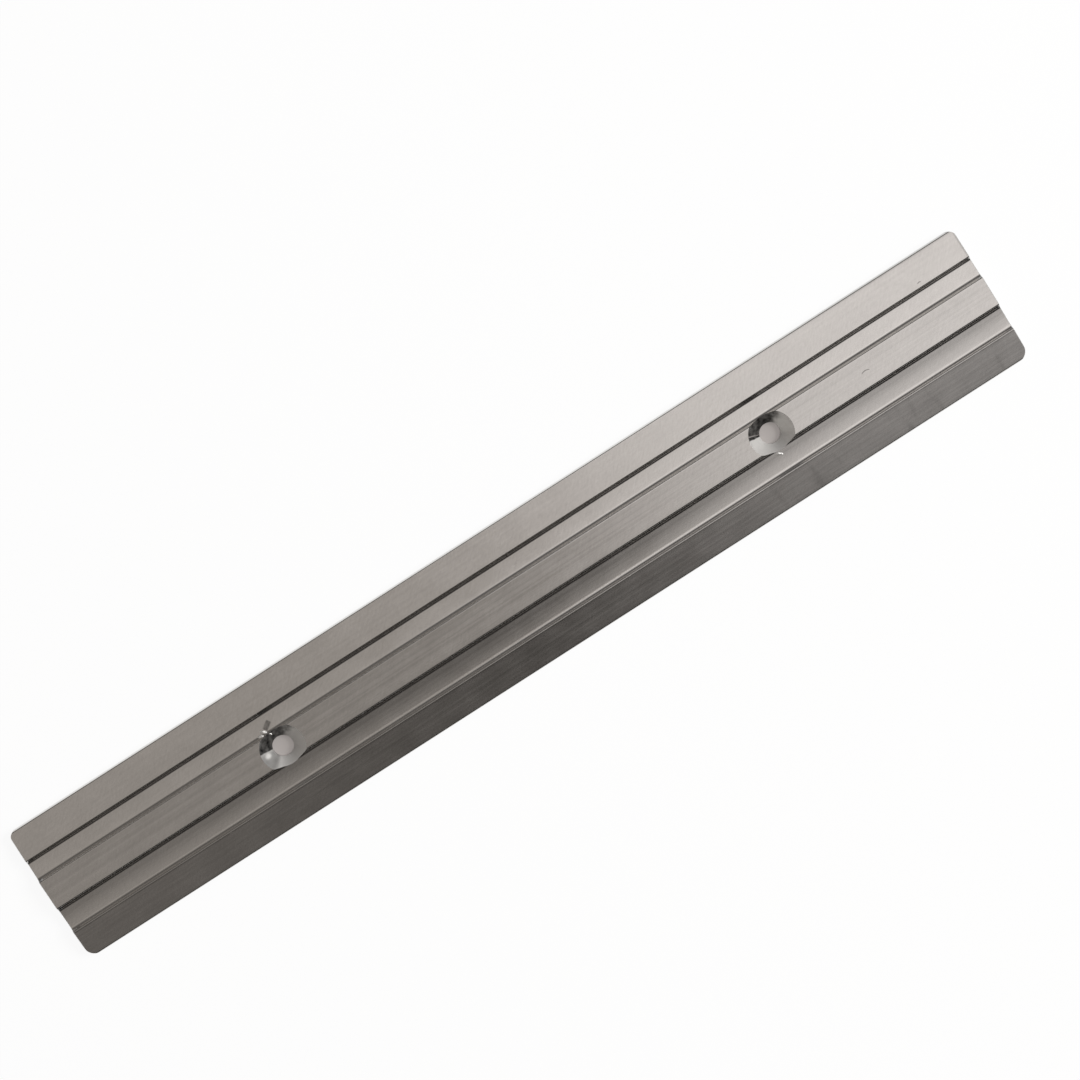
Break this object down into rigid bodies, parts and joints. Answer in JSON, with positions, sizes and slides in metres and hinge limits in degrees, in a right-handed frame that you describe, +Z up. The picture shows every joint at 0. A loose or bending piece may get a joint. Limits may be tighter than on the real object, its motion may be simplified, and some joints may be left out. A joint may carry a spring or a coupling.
{
  "type": "cover strip",
  "caption": "Flat extruded metal cover strip with a crowned, grooved top and countersunk screw holes, which screws down over a joint in an escalator's deck.",
  "frame": {"origin": "middle of the flat underside, halfway along the strip and halfway across it", "axes": "+X along the strip, +Y across it towards the narrower groove, +Z up out of the grooved top"},
  "size_m": [0.2314, 0.031, 0.004],
  "materials": {
    "bare_aluminium": "bare extruded aluminium, satin, with fine lines along its length"
  },
  "bodies": {
    "root": {"cover_strip": "bare_aluminium"}
  },
  "joints": []
}
